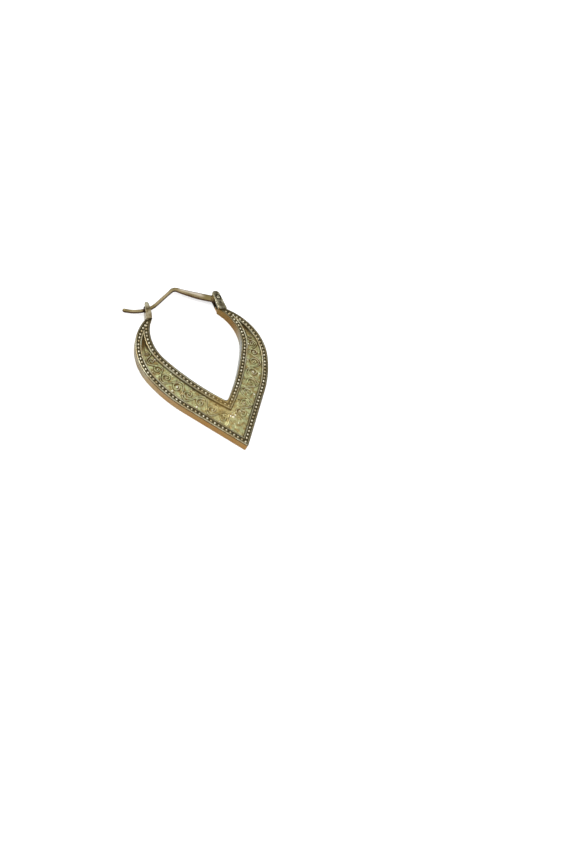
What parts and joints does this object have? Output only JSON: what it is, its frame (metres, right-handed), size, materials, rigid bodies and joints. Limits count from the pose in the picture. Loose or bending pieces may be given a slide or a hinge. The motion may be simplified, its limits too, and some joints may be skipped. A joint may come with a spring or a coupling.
{
  "type": "pointed hoop drop earring with hinged ear wire",
  "caption": "Pointed open hoop earring with milgrain borders and floral scroll relief, a hinged ear wire and a forked catch.",
  "frame": {"origin": "on the flat back, under the middle of the earring's width and length", "axes": "+Z from the flat back to the ornamented face, +Y from the hoop's point to the peak of the ear wire, +X from the catch to the hinge"},
  "size_m": [0.0274, 0.0394, 0.0019],
  "materials": {
    "hoop_gilt": "cast gilt metal, bright on the raised work and dark brown in the recesses, with polished warm side walls",
    "pin_gilt": "polished pale gilt rivet",
    "wire_gilt": "polished rose gilt wire"
  },
  "bodies": {
    "hoop": {"hoop_frame": "hoop_gilt", "hinge_pin": "pin_gilt"},
    "wire": {"ear_wire": "wire_gilt"}
  },
  "joints": [
    {"name": "ear_wire_hinge", "type": "hinge", "parent": "hoop", "child": "wire", "pos_m": [0.0086, 0.01536, 0.00095], "axis": [0, 0, -1], "range_deg": [0, 80]}
  ]
}
